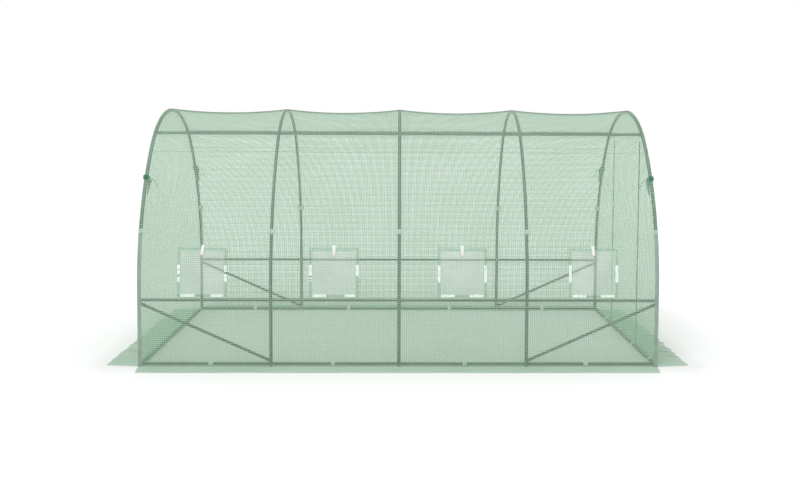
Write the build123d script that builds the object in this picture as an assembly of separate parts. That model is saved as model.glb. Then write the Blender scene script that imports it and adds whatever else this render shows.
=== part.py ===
"""A walk-in polytunnel: tube hoops under a welded green cover, with a zip door and four roll-up windows.

Millimetres. +X runs along the tunnel towards the door, +Y across it, +Z up.
The origin is on the ground, in the middle of the footprint. South is -Y, east is +X.
"""

from build123d import *
from math import asin, atan2, copysign, cos, degrees, hypot, pi, radians, sin, sqrt, tan
import os

# ---- the hoops -------------------------------------------------------------------------------
hoop_half_width = 1000.0  # middle of the tunnel to a hoop's centreline, at the ground
leg_height = 585.0  # a hoop is straight up to here, and bent above
haunch_radius = 1805.0  # bend of a hoop's centreline above each leg
crown_radius = 790.0  # bend of a hoop's centreline over the top
end_bay = 1010.0  # hoop spacing in the two end bays
mid_bay = 990.0  # hoop spacing in the bays between them
tube_radius = 12.5
hoop_sides = 8  # the bent tubes' section has flats, so that their meshes stay light
joint_height = 500.0  # the arch starts here, on top of its leg

# ---- rails and braces ------------------------------------------------------------------------
rail_radius = 11.0
base_rail_height = 13.0  # centreline above the ground
mid_rail_height = 511.0
upper_rail_angle = 39.0  # degrees from the vertical, about the crown's centre
brace_radius = 9.5
brace_sides = 8
brace_tab_length = 20.0  # the flat beyond each bolt's middle, towards the tube
brace_tab_thickness = 3.0
brace_tab_width = 25.0
brace_taper = 30.0  # length over which the round tube is pressed flat
seat_gap = 0.2  # between pieces that are bolted or laid together

# ---- the cover -------------------------------------------------------------------------------
cover_gap = 0.3  # hoop to cover
cover_thickness = 1.5
seam_height = 1645.0  # where each side sheet is welded to the roof sheet
skirt_side_width = 170.0  # lies on the ground along the north and south sides
skirt_end_width = 256.0  # and along the two ends
skirt_thickness = 1.5
skirt_corner_cut = 30.0  # the skirts' outer corners are notched back by this much

# ---- the door, in the east end ---------------------------------------------------------------
door_width = 820.0
door_height = 1742.0
door_sill = 24.0  # the door sheet's lower edge, above the base rail's middle
zip_width = 16.0
zip_thickness = 3.0
door_tie_spread = 268.0  # middle of the door to each tie that holds it rolled up
door_tie_drop = 60.0
door_tie_width = 9.0

# ---- the windows, one in each bay of the south side ------------------------------------------
window_sill = 542.0
window_width = 385.0
window_shifts = (-20.0, -8.0, -8.0, 8.0)  # each window from its bay's middle, west to east
window_height = 380.0
window_hem = 26.0  # the flap laps the opening by this much
flap_thickness = 1.2
sewn_gap = 0.2
window_strap_width = 25.0
window_strap_length = 76.0
window_strap_rise = 18.0  # a strap stands this far above its flap's top edge
webbing_thickness = 1.4
tape_inset = 2.0  # a hook-and-loop strip lies this far inside both edges of the hem
side_tape_length = 132.0
side_tape_drop = 130.0  # from the flap's top edge to the top of each side strip
low_tape_length = 108.0
low_tape_inset = 28.0  # from the flap's side edge to the strip on its bottom hem

# ---- straps and ties -------------------------------------------------------------------------
strap_height = 1040.0
strap_width = 36.0
rail_strap_width = 30.0
rail_strap_offsets = (510.0, 1455.0)  # from the middle, both ways along both long base rails
east_strap_places = (-845.0, -380.0, 540.0)  # along the base rail under the door
west_strap_places = (925.0,)
rail_band_sides = 8  # a strap round a rail is made with flats, as one round a hoop is
tie_height = 1445.0  # the end hoops have a string knotted round each side, up here
tie_wrap_width = 13.0
tie_wrap_thickness = 4.0
tie_knot = (15.0, 17.0, 19.0)  # size of the knot along X, Y and Z
tie_string = 5.0  # diameter
tie_string_sides = 6
tie_string_gap = 0.7  # a tail starts this far from its knot
# Each string leaves its knot in two tails. A tail's points are steps from the knot: towards the
# tunnel's middle, down, and out towards the cover. The drop follows the hoop down.
tie_tails = {
    "tail": ((0.0, 0.0, 0.0), (18.0, 5.0, 0.0), (38.0, 26.0, -2.0), (58.0, 72.0, -4.0)),
    "drop": ((0.0, 0.0, 0.0), (1.0, 34.0, 3.0), (-1.0, 78.0, 26.0), (2.0, 120.0, 50.0)),
}

hoop_places = (-mid_bay - end_bay, -mid_bay, 0.0, mid_bay, mid_bay + end_bay)
hoop_end = hoop_places[-1]
window_places = [
    (a + b) / 2 + shift for a, b, shift in zip(hoop_places, hoop_places[1:], window_shifts)
]

# The haunch's centre is level with the leg's top. The crown's is on the middle line, and the two
# arcs share a tangent where the line through both centres meets them.
haunch_centre = hoop_half_width - haunch_radius
crown_centre = leg_height + sqrt((haunch_radius - crown_radius) ** 2 - haunch_centre**2)
crown_half_angle = degrees(asin(-haunch_centre / (haunch_radius - crown_radius)))
cover_inside = tube_radius + cover_gap
cover_outside = cover_inside + cover_thickness
end_inside = hoop_end + cover_inside
end_outside = hoop_end + cover_outside


def hoop_width_at(height):
    """Half the width of a hoop's centreline at a height on its leg or haunch."""
    rise = max(height - leg_height, 0.0)
    return haunch_centre + sqrt(haunch_radius**2 - rise**2)


def haunch_lean(height):
    """How far, in degrees, the hoop leans inwards at a height on its haunch."""
    return degrees(asin(max(height - leg_height, 0.0) / haunch_radius))


def hoop_line(start, offset=0.0):
    """The hoop's outline across the tunnel, from height start on one side over to the other."""
    low = (hoop_half_width + offset, start)
    bend = (hoop_half_width + offset, leg_height)
    lean = 90 - crown_half_angle
    middle = lean / 2
    haunch = haunch_radius + offset
    crown = crown_radius + offset
    mid = (
        haunch_centre + haunch * cos(radians(middle)),
        leg_height + haunch * sin(radians(middle)),
    )
    top = (
        haunch_centre + haunch * cos(radians(lean)),
        leg_height + haunch * sin(radians(lean)),
    )
    apex = (0.0, crown_centre + crown)
    flip = lambda point: (-point[0], point[1])
    return [
        Line(low, bend),
        ThreePointArc(bend, mid, top),
        ThreePointArc(top, apex, flip(top)),
        ThreePointArc(flip(top), flip(mid), flip(bend)),
        Line(flip(bend), flip(low)),
    ]


def across(place):
    """A plane across the tunnel at place along X, whose x and y are the tunnel's Y and Z."""
    return Plane(origin=(place, 0, 0), x_dir=(0, 1, 0), z_dir=(1, 0, 0))


def span(x0, x1, y0, y1, z0, z1):
    return Pos((x0 + x1) / 2, (y0 + y1) / 2, (z0 + z1) / 2) * Box(x1 - x0, y1 - y0, z1 - z0)


def bar(start, direction, length, radius):
    """A round bar of a length that starts at a point."""
    plane = Plane(origin=start, z_dir=direction)
    return extrude(plane * Circle(radius), length)


def flat_sided(apothem, sides):
    """A regular outline whose flats lie at a distance from its middle, one of them facing X."""
    outline = RegularPolygon(apothem, sides, major_radius=False)
    return Rot(0, 0, 180 / sides) * outline


# ---- the frame -------------------------------------------------------------------------------
def leg(x, side):
    """A straight leg, from the ground up to its arch."""
    return Pos(x, side * hoop_half_width, 0) * extrude(flat_sided(tube_radius, hoop_sides), joint_height)


def arch(x):
    """The bent tube over both legs: straight, haunch, crown, haunch, straight."""
    section = flat_sided(tube_radius, hoop_sides)
    foot = Plane(origin=(x, hoop_half_width, joint_height), z_dir=(0, 0, 1))
    straight = extrude(foot * section, leg_height - joint_height)
    haunch_sweep = 90 - crown_half_angle
    haunch_axis = Axis((x, haunch_centre, leg_height), (1, 0, 0))
    haunch = revolve(Pos(0, 0, leg_height - joint_height) * foot * section, haunch_axis, haunch_sweep)
    crown_axis = Axis((x, 0, crown_centre), (1, 0, 0))
    top = haunch.faces().sort_by(Axis.Z)[-1]
    crown = revolve(top, crown_axis, 2 * crown_half_angle)
    half = straight + haunch
    return half + crown + mirror(half, Plane.XZ)


rail_inset = tube_radius + rail_radius + seat_gap  # hoop centreline to a rail laid inside it


def side_rail(side, height):
    """A long rail inside the legs. It ends flush with the outside of the end hoops."""
    end = hoop_end + tube_radius
    return bar((-end, side * (hoop_half_width - rail_inset), height), (1, 0, 0), 2 * end, rail_radius)


def base_side_rail(side):
    """A long rail at the ground, between the two end rails."""
    end = hoop_end - rail_radius - seat_gap
    start = (-end, side * (hoop_half_width - rail_inset), base_rail_height)
    return bar(start, (1, 0, 0), 2 * end, rail_radius)


def base_end_rail(end):
    """A rail at the ground between the legs of an end hoop."""
    reach = hoop_half_width - tube_radius - seat_gap
    return bar((end * hoop_end, -reach, base_rail_height), (0, 1, 0), 2 * reach, rail_radius)


def upper_rail(side):
    """A long rail under the crown."""
    reach = crown_radius - rail_inset
    angle = radians(upper_rail_angle)
    end = hoop_end + tube_radius
    start = (-end, side * reach * sin(angle), crown_centre + reach * cos(angle))
    return bar(start, (1, 0, 0), 2 * end, rail_radius)


def pressed(width, thickness):
    """The brace's outline pressed to a width and a thickness. Its flats keep their order."""
    corners = []
    for number in range(brace_sides):
        angle = 2 * pi * (number + 0.5) / brace_sides
        reach = 0.5 / cos(pi / brace_sides)
        corners.append((reach * thickness * cos(angle), reach * width * sin(angle)))
    return Polygon(*corners, align=None)


def brace(end, side):
    """A diagonal tube in an end bay, high on the end hoop. Its pressed ends are bolted to the legs."""
    half_tab = brace_tab_width / 2
    high = mid_rail_height - rail_radius - seat_gap - half_tab
    low = base_rail_height + rail_radius + seat_gap + half_tab
    fall = high - low
    tilt = degrees(atan2(fall, end_bay))
    bolt = hypot(fall, end_bay) / 2  # the brace's middle to each bolt
    round_half = bolt - brace_tab_length - brace_taper
    full = pressed(2 * brace_radius, 2 * brace_radius)
    flat = pressed(brace_tab_width, brace_tab_thickness)
    tube = extrude(Plane.YZ.offset(-round_half) * full, 2 * round_half)
    flat_at = round_half + brace_taper
    taper = loft([Plane.YZ.offset(round_half) * full, Plane.YZ.offset(flat_at) * flat], ruled=True)
    tab = extrude(Plane.YZ.offset(flat_at) * flat, brace_tab_length + half_tab)
    nose = Rot(90, 0, 0) * Cylinder(half_tab, 2 * brace_radius)
    tab &= Pos(bolt, 0, 0) * nose + span(0, bolt, -brace_radius, brace_radius, -half_tab, half_tab)
    whole = tube + taper + tab + mirror(taper + tab, Plane.YZ)
    centre_y = hoop_half_width - tube_radius - seat_gap - brace_tab_thickness / 2
    centre_x = (hoop_places[3] + hoop_places[4]) / 2
    return Pos(end * centre_x, side * centre_y, (high + low) / 2) * Rot(0, -end * tilt, 0) * whole


# ---- the cover -------------------------------------------------------------------------------
def sheet_section(inside, outside, base):
    """The closed outline between two offsets of the hoop's line, down to a height."""
    inner = hoop_line(base, inside)
    outer = hoop_line(base, outside)
    joins = [Line(inner[0] @ 0, outer[0] @ 0), Line(inner[-1] @ 1, outer[-1] @ 1)]
    return make_face(Wire(inner + outer + joins))


def shell(x0, x1, inside, outside, base=0.0):
    """A barrel between two offsets of the hoop's line, from x0 to x1."""
    section = across(x0) * sheet_section(inside, outside, base)
    return extrude(section, x1 - x0, dir=(1, 0, 0))


def window_box(x, margin=0.0):
    """A block through the south side at a window. A margin makes it larger all round."""
    half = window_width / 2 - window_hem + margin
    low = window_sill + window_hem - margin
    high = window_sill + window_height - window_hem + margin
    return span(x - half, x + half, -1.5 * hoop_half_width, 0, low, high)


def cover_parts():
    """The south sheet with its window openings, the roof and the north sheet."""
    whole = shell(-end_outside, end_outside, cover_inside, cover_outside, skirt_thickness)
    wide = 2 * hoop_half_width
    south = whole & span(-wide * 2, wide * 2, -wide, 0, -wide, seam_height)
    north = whole & span(-wide * 2, wide * 2, 0, wide, -wide, seam_height)
    roof = whole & span(-wide * 2, wide * 2, -wide, wide, seam_height, 2 * wide)
    for x in window_places:
        south -= window_box(x)
    return south, roof, north


def end_panel(end):
    """A flat sheet that fills one end inside the cover."""
    outline = hoop_line(skirt_thickness, cover_inside)
    face = make_face(Wire(outline + [Line(outline[-1] @ 1, outline[0] @ 0)]))
    start = end_inside if end > 0 else -end_outside
    return extrude(across(start) * face, cover_thickness, dir=(1, 0, 0))


def door_box(margin, x0, x1):
    half = door_width / 2 + margin
    return span(x0, x1, -half, half, 0, door_height + margin)


def door_parts():
    """The door sheet, hung from the panel above it, and the two zips beside it."""
    half = door_width / 2
    flap = span(end_inside, end_outside, -half, half, door_sill, door_height)
    start = end_outside
    zips = [
        span(start, start + zip_thickness, y - zip_width / 2, y + zip_width / 2, door_sill, door_height)
        for y in (-half, half)
    ]
    return flap, zips


def door_ties():
    """Two short ties that hang at the top of the door, to hold it when it is rolled up."""
    x0 = end_outside
    x1 = x0 + 2 * webbing_thickness
    low, high = door_height - door_tie_drop, door_height
    half = door_tie_width / 2
    return [span(x0, x1, y - half, y + half, low, high) for y in (-door_tie_spread, door_tie_spread)]


def skirt(axis, side):
    """A sheet on the ground outside the cover, with its two outer corners cut back."""
    if axis == "y":
        inner, outer = hoop_half_width + cover_inside, hoop_half_width + cover_inside + skirt_side_width
        half = end_outside
    else:
        inner, outer = hoop_end + cover_inside, hoop_end + cover_inside + skirt_end_width
        half = hoop_half_width + cover_inside - seat_gap
    cut = skirt_corner_cut
    outline = Polyline((-half, inner), (half, inner), (half - cut, outer), (cut - half, outer), close=True)
    sheet = extrude(make_face(outline), skirt_thickness)
    turn = {("y", 1): 0, ("x", -1): 90, ("y", -1): 180, ("x", 1): 270}[axis, side]
    return Rot(0, 0, turn) * sheet


# ---- the windows -----------------------------------------------------------------------------
def window_screen(x):
    """Netting that fills the window's opening, edge to edge."""
    half = window_width / 2
    netting = shell(x - half, x + half, cover_inside, cover_inside + flap_thickness)
    return netting & window_box(x)


flap_inside = cover_outside + sewn_gap
flap_outside = flap_inside + flap_thickness


def window_flap(x):
    """The sheet that closes the window from outside, larger than the opening by its hem."""
    half = window_width / 2
    sheet = shell(x - half, x + half, flap_inside, flap_outside)
    return sheet & window_box(x, window_hem)


tape_inside = flap_outside + sewn_gap
tape_outside = tape_inside + webbing_thickness


def on_window(x, x0, x1, z0, z1):
    """A strip of webbing on a flap, x0 to x1 from the window's middle and z0 to z1 high."""
    strip = shell(x + x0, x + x1, tape_inside, tape_outside)
    return strip & span(x + x0, x + x1, -1.5 * hoop_half_width, 0, z0, z1)


def window_strap(x):
    """The strap that holds the flap when it is rolled up, sewn on above it."""
    half = window_strap_width / 2
    top = window_sill + window_height + window_strap_rise
    return on_window(x, -half, half, top - window_strap_length, top)


def window_tapes(x):
    """Hook-and-loop strips: one on each side hem, and two on the bottom hem."""
    half = window_width / 2
    wide = window_hem - 2 * tape_inset
    side_top = window_sill + window_height - side_tape_drop
    low = window_sill + tape_inset
    strips = []
    for side in (-1, 1):
        edges = sorted((side * (half - tape_inset), side * (half - tape_inset - wide)))
        strips.append(on_window(x, *edges, side_top - side_tape_length, side_top))
        far = half - low_tape_inset
        edges = sorted((side * far, side * (far - low_tape_length)))
        strips.append(on_window(x, *edges, low, low + wide))
    return strips


# ---- straps and ties -------------------------------------------------------------------------
def ring(inside, thickness, width, sides):
    """A band of a width round the Z axis, with flats inside and out."""
    outline = flat_sided(inside + thickness, sides) - flat_sided(inside, sides)
    return extrude(outline, width / 2, both=True)


def hoop_band(x, side, height, width, thickness):
    """A band round a hoop. It stops where the cover, or an end panel, lies against the hoop."""
    band = ring(tube_radius + seat_gap, thickness, width, hoop_sides)
    limit = cover_inside - seat_gap
    reach = 2 * tube_radius
    band &= span(-reach, reach, -reach, limit, -width, width)
    if abs(x) == hoop_end:
        outer = sorted((copysign(limit, x), copysign(reach, x)))
        corner = sorted((0, copysign(reach, x)))
        band -= span(*outer, -reach, reach, -width, width) + span(*corner, 0, reach, -width, width)
    band = Pos(x, hoop_width_at(height), height) * Rot(haunch_lean(height), 0, 0) * band
    return band if side > 0 else mirror(band, Plane.XZ)


def rail_band(reach):
    """A band round a rail along X, with a tail that reaches out along Y to the cover."""
    inside = rail_radius + seat_gap
    outside = inside + webbing_thickness
    half = rail_strap_width / 2
    band = Rot(0, 90, 0) * ring(inside, webbing_thickness, rail_strap_width, rail_band_sides)
    return band + span(-half, half, 0, reach, inside, outside)


def rail_straps():
    """The straps that hold the cover to the base rails."""
    straps = []
    line = hoop_half_width - rail_inset
    for side in (-1, 1):
        for offset in rail_strap_offsets:
            for x in (-offset, offset):
                turned = Rot(0, 0, 0 if side > 0 else 180) * rail_band(rail_inset + cover_inside)
                straps.append(Pos(x, side * line, base_rail_height) * turned)
    for end, places in ((1, east_strap_places), (-1, west_strap_places)):
        for y in places:
            turned = Rot(0, 0, -90 * end) * rail_band(cover_inside)
            straps.append(Pos(end * hoop_end, y, base_rail_height) * turned)
    return straps


def tie_wrap(end, side):
    """A string wound round an end hoop, with its knot on the side towards the tunnel's middle."""
    wound = hoop_band(end * hoop_end, side, tie_height, tie_wrap_width, tie_wrap_thickness)
    inward = tube_radius + seat_gap + tie_knot[0] / 2
    knot = chamfer(Box(*tie_knot).edges(), min(tie_knot) / 4)
    return wound + Pos(end * (hoop_end - inward), side * hoop_width_at(tie_height), tie_height) * knot


def tie_tail(end, side, name):
    """One loose end of a tie, down from its knot."""
    start_x = hoop_end - tube_radius - seat_gap - tie_knot[0] / 2
    start_z = tie_height
    if name == "tail":
        start_x -= tie_knot[0] / 2 + tie_string_gap
    else:
        start_z -= tie_knot[2] / 2 + tie_string_gap
    start_y = hoop_width_at(tie_height)
    points = [
        (end * (start_x - inward), side * (start_y + outward), start_z - down)
        for inward, down, outward in tie_tails[name]
    ]
    radii = []
    for before, corner, after in zip(points, points[1:], points[2:]):
        first, second = Vector(*corner) - Vector(*before), Vector(*after) - Vector(*corner)
        half_turn = radians(first.get_angle(second)) / 2
        radii.append(0.45 * min(first.length, second.length) / tan(half_turn))
    print(f"tie {name}, radii", [round(radius, 1) for radius in radii])
    path = FilletPolyline(*points, radius=radii)
    section = flat_sided(tie_string / 2, tie_string_sides)
    return sweep(Plane(origin=points[0], z_dir=path % 0) * section, path=path)


# ---- the parts -------------------------------------------------------------------------------
nodes = {}
for number, x in enumerate(hoop_places, 1):
    nodes[f"arch_{number}"] = arch(x)
for side, name in ((-1, "south"), (1, "north")):
    nodes[f"legs_{name}"] = [leg(x, side) for x in hoop_places]
    nodes[f"base_rail_{name}"] = base_side_rail(side)
    nodes[f"mid_rail_{name}"] = side_rail(side, mid_rail_height)
    nodes[f"upper_rail_{name}"] = upper_rail(side)
    nodes[f"skirt_{name}"] = skirt("y", side)
    nodes[f"hoop_straps_{name}"] = [
        hoop_band(x, side, strap_height, strap_width, webbing_thickness) for x in hoop_places
    ]
    for end, end_name in ((-1, "west"), (1, "east")):
        nodes[f"brace_{name}_{end_name}"] = brace(end, side)
        for tail in tie_tails:
            nodes[f"tie_{tail}_{name}_{end_name}"] = tie_tail(end, side, tail)
for end, name in ((-1, "west"), (1, "east")):
    nodes[f"base_rail_{name}"] = base_end_rail(end)
    nodes[f"skirt_{name}"] = skirt("x", end)

nodes["cover_side_south"], nodes["cover_roof"], nodes["cover_side_north"] = cover_parts()
nodes["end_panel_west"] = end_panel(-1)
nodes["end_panel_east"] = end_panel(1) - door_box(0, end_inside - 1, end_outside + 1)
nodes["door_flap"], nodes["door_zips"] = door_parts()
nodes["door_ties"] = door_ties()
nodes["window_screens"] = [window_screen(x) for x in window_places]
for number, x in enumerate(window_places, 1):
    nodes[f"window_flap_{number}"] = window_flap(x)
nodes["window_straps"] = [window_strap(x) for x in window_places]
nodes["window_tapes"] = [strip for x in window_places for strip in window_tapes(x)]
nodes["rail_straps"] = rail_straps()
nodes["tie_wraps"] = [tie_wrap(end, side) for end in (-1, 1) for side in (-1, 1)]

os.makedirs("parts", exist_ok=True)
for name, shape in nodes.items():
    pieces = shape if isinstance(shape, list) else [shape]
    solids = [solid for piece in pieces for solid in piece.solids()]
    export_step(solids[0] if len(solids) == 1 else Compound(solids), f"parts/{name}.step")
print(len(nodes), "nodes")
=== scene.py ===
"""A walk-in polytunnel: the film, tubes, windows, door and ties that go round its CAD frame."""

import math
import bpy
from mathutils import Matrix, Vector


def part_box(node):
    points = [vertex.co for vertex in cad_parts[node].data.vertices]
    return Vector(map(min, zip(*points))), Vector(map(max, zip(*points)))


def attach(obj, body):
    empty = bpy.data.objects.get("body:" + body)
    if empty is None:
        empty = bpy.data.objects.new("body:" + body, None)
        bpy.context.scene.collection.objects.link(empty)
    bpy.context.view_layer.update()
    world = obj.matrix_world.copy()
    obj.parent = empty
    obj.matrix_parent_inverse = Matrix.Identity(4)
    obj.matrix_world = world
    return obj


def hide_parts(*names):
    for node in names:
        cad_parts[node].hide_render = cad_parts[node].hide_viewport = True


bl_info = {
    "name": "Polytunnel greenhouse",
    "version": (1, 0, 0),
    "blender": (4, 5, 0),
    "location": "3D Viewport > Sidebar > Polytunnel",
    "description": "Builds a polytunnel's film, tubes, windows, door and ties round its CAD frame",
    "category": "Object",
}

import bmesh
import bpy
from mathutils import Matrix, Vector, noise

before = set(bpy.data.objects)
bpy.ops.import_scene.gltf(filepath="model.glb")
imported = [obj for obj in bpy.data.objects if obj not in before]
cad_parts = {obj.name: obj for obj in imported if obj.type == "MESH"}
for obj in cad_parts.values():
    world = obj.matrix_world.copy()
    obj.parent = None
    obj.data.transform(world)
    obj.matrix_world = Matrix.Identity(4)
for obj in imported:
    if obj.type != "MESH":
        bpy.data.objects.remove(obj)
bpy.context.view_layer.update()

ROOT = "root"
SIDES = ((-1, "south"), (1, "north"))
ENDS = ((-1, "west"), (1, "east"))
MAP = "weave"  # the map in metres that a sheet's threads follow
MIDDLE = (0.0, 0.0, 0.8)  # a point inside the tunnel


def middles(name, count):
    """Where the middles of some numbered CAD nodes are along the tunnel."""
    return [sum(corner.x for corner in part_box(f"{name}_{i + 1}")) / 2 for i in range(count)]


# ---- the hoops' line
# A hoop's tube goes up straight, through a wide bend on each haunch and a tighter one at the top.
LEG_TOP = 0.585
HAUNCH_RADIUS = 1.805
CROWN_RADIUS = 0.790
HALF_WIDTH = 1.0
HAUNCH_CENTRE = HALF_WIDTH - HAUNCH_RADIUS
CROWN_SPREAD = math.asin(-HAUNCH_CENTRE / (HAUNCH_RADIUS - CROWN_RADIUS))
CROWN_CENTRE = LEG_TOP + (HAUNCH_RADIUS - CROWN_RADIUS) * math.cos(CROWN_SPREAD)
LEAN = math.pi / 2 - CROWN_SPREAD
HAUNCH_RUN = LEG_TOP + HAUNCH_RADIUS * LEAN
TOP_RUN = HAUNCH_RUN + CROWN_RADIUS * CROWN_SPREAD
FULL_RUN = 2 * TOP_RUN

ARCH_LOW, ARCH_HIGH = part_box("arch_1")
HOOPS = middles("arch", 5)
TUBE = (ARCH_HIGH.x - ARCH_LOW.x) / 2
JOINT = ARCH_LOW.z
SKIN = TUBE + 0.001  # the film's distance from a hoop's centreline
END = HOOPS[-1] + SKIN
RIDGE = CROWN_CENTRE + CROWN_RADIUS + SKIN
SEAT = 0.0002  # the gap between pieces that touch


def hoop_at(run):
    """The hoop's centreline after a run from its south foot: y, z, and the way out of it."""
    side = -1.0 if run <= TOP_RUN else 1.0
    run = min(run, FULL_RUN - run)
    if run < LEG_TOP:
        y, z, turn = HALF_WIDTH, run, 0.0
    elif run < HAUNCH_RUN:
        turn = (run - LEG_TOP) / HAUNCH_RADIUS
        y = HAUNCH_CENTRE + HAUNCH_RADIUS * math.cos(turn)
        z = LEG_TOP + HAUNCH_RADIUS * math.sin(turn)
    else:
        turn = LEAN + (run - HAUNCH_RUN) / CROWN_RADIUS
        y, z = CROWN_RADIUS * math.cos(turn), CROWN_CENTRE + CROWN_RADIUS * math.sin(turn)
    return side * y, z, (side * math.cos(turn), math.sin(turn))


def run_at(height):
    """The run from a foot at which the hoop's line reaches a height."""
    if height < LEG_TOP:
        return height
    turn = math.asin((height - LEG_TOP) / HAUNCH_RADIUS)
    if turn < LEAN:
        return LEG_TOP + HAUNCH_RADIUS * turn
    return HAUNCH_RUN + CROWN_RADIUS * (math.asin((height - CROWN_CENTRE) / CROWN_RADIUS) - LEAN)


def skin_at(run):
    """Half the tunnel's width and its height where the flat film crosses a run."""
    y, z, out = hoop_at(run)
    return abs(y) + abs(out[0]) * SKIN, z + out[1] * SKIN


def run_at_film(height):
    """The run at which the film, outside the hoop's line, reaches a height."""
    low, high = 0.0, TOP_RUN
    for _ in range(40):
        run = (low + high) / 2
        low, high = (run, high) if skin_at(run)[1] < height else (low, run)
    return (low + high) / 2


def hoop_frame(x, side, height):
    """On a hoop at a height: its centreline, the way out of the tunnel, and the way up along it."""
    y, z, out = hoop_at(run_at(height))
    outward = Vector((0.0, side * abs(out[0]), out[1]))
    return Vector((x, side * abs(y), z)), outward, Vector((0.0, -side * out[1], abs(out[0])))


def stops(*ends, step):
    """Positions from the first end to the last, through each one between, at most a step apart."""
    found = [ends[0]]
    for start, stop in zip(ends, ends[1:]):
        count = max(1, math.ceil((stop - start) / step - 1e-6))
        found += [start + (stop - start) * i / count for i in range(1, count + 1)]
    return found


def full_turn(count):
    """The angles of a full turn in equal steps, with both ends."""
    return [2 * math.pi * i / count for i in range(count + 1)]


def clamp(value):
    return min(1.0, max(0.0, value))


def wave(*spot):
    """A smooth wave between about -1 and 1, the same at every run."""
    return noise.noise(Vector(spot))


# ---- what a user may change
def length(name, default, description):
    return bpy.props.FloatProperty(
        name=name, default=default, description=description, min=0.0, unit="LENGTH", precision=4
    )


def colour(name, default, description):
    return bpy.props.FloatVectorProperty(
        name=name, default=default, description=description, size=3, min=0.0, max=1.0,
        subtype="COLOR",
    )


class TunnelSizes(bpy.types.PropertyGroup):
    """Sizes that the CAD leaves free."""

    ridge_sag: length("Ridge sag", 0.032, "How far the film hangs at the ridge between two hoops")
    ripple: length("Film ripple", 0.0016, "Height of the soft waves in the film")
    thread_pitch: length("Thread pitch", 0.015, "Spacing of the film's reinforcing threads")
    thread_width: length("Thread width", 0.0040, "Width of a reinforcing thread")
    net_pitch: length("Net pitch", 0.004, "Spacing of the netting's threads")
    weld_width: length("Weld width", 0.010, "Overlap where two films are welded")
    leg_hem: length("Leg hem", 0.030, "Width of the doubled film over the end legs")
    skirt_lift: length("Skirt lift", 0.006, "Height of the waves in the skirts on the ground")
    skirt_ruffle: length("Skirt ruffle", 0.034, "Height of the creases in the skirts at the ends")
    stitch_pitch: length("Stitch pitch", 0.009, "Distance from one stitch to the next")
    tooth_pitch: length("Zip tooth pitch", 0.005, "Distance from one zip tooth to the next")
    bolt_size: length("Bolt head", 0.007, "Radius of a bolt's hexagonal head")


class TunnelColours(bpy.types.PropertyGroup):
    """Colours of the tunnel's finishes."""

    film: colour("Film", (0.34, 0.62, 0.40), "The film between its threads")
    thread: colour("Film threads", (0.43, 0.60, 0.465), "The reinforcing threads in the film")
    pane: colour("Window pane", (0.185, 0.425, 0.245), "The clearer film of the windows")
    net: colour("Netting", (0.22, 0.43, 0.28), "The netting in the windows")
    steel: colour("Tubes", (0.062, 0.062, 0.066), "The tubes' coating")
    webbing: colour("Webbing", (0.99, 1.0, 0.98), "The white straps")
    string: colour("String", (0.01, 0.06, 0.03), "The strings on the end hoops")
    tape: colour("Zip tape", (0.014, 0.05, 0.028), "The zips' woven tape")


def sizes():
    return bpy.context.scene.tunnel_sizes


def colours():
    return bpy.context.scene.tunnel_colours


# ---- node trees
class Nodes:
    """Adds nodes to a tree. An input is given as a value or as the socket that feeds it."""

    def __init__(self, tree):
        self.tree = tree
        tree.nodes.clear()

    def feed(self, node, *first, **named):
        """Feeds a node's first inputs, except where None is given, and its named ones.

        A name has _ for each space.
        """
        for name, value in [*enumerate(first), *named.items()]:
            if value is None:
                continue
            socket = node.inputs[name if isinstance(name, int) else name.replace("_", " ")]
            if isinstance(value, bpy.types.NodeSocket):
                self.tree.links.new(value, socket)
            elif socket.type == "RGBA":
                socket.default_value = (*value[:3], 1.0)
            else:
                socket.default_value = value

    def put(self, kind, *first, **named):
        """Adds a node and gives its outputs. A name in lower case is one of its settings."""
        node = self.tree.nodes.new(kind)
        for name in filter(str.islower, list(named)):
            setattr(node, name, named.pop(name))
        self.feed(node, *first, **named)
        return node.outputs

    def math(self, operation, *values):
        return self.put("ShaderNodeMath", *values, operation=operation)[0]

    def mix(self, share, first, second):
        """A mix of two colours, which are the node's last two inputs."""
        return self.put("ShaderNodeMix", share, *[None] * 5, first, second, data_type="RGBA")[2]

    def ramp(self, value, low, high, start=0.0, stop=1.0):
        """A smooth step from start to stop as value goes from low to high."""
        return self.put("ShaderNodeMapRange", Value=value, From_Min=low, From_Max=high,
                        To_Min=start, To_Max=stop, interpolation_type="SMOOTHSTEP")[0]

    def spread(self, cloud, low, high):
        """A noise's values spread from low to high."""
        return self.ramp(cloud, 0.3, 0.7, low, high)

    def noise(self, scale, detail=2.0, stretch=None):
        """Soft noise over the object."""
        spot = self.spot
        if stretch:
            spot = self.put("ShaderNodeMapping", Vector=spot, Scale=stretch)[0]
        return self.put("ShaderNodeTexNoise", Vector=spot, Scale=scale, Detail=detail)["Fac"]

    def bump(self, height, distance, strength=1.0):
        return self.put("ShaderNodeBump", Height=height, Distance=distance, Strength=strength)[0]

    @property
    def spot(self):
        """Where a point is on the object, in metres."""
        return self.put("ShaderNodeTexCoord")["Object"]

    def cloth(self, axis):
        """How far along one axis of the flat sheet a point is, in metres."""
        return self.put("ShaderNodeSeparateXYZ", self.put("ShaderNodeUVMap", uv_map=MAP)[0])[axis]

    def lines(self, pitch, width):
        """1 on the lines of each direction of a square grid over the flat sheet, 0 between them."""
        off = [self.math("PINGPONG", self.cloth(axis), pitch / 2) for axis in (0, 1)]
        return [self.ramp(each, width * 0.3, width * 0.7, 1.0, 0.0) for each in off]

    def tint(self, base, amount, scale):
        """A colour that varies a little over the object, softly clouded."""
        return self.mix(self.noise(scale, 3.0), shade(base, 1 - amount), shade(base, 1 + amount))


def nodes_of(thing):
    """The emptied node tree of a material or a world."""
    thing.use_nodes = True
    return Nodes(thing.node_tree)


def shade(base, factor):
    """A colour made lighter or darker."""
    return [min(1.0, c * factor) for c in base]


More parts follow.
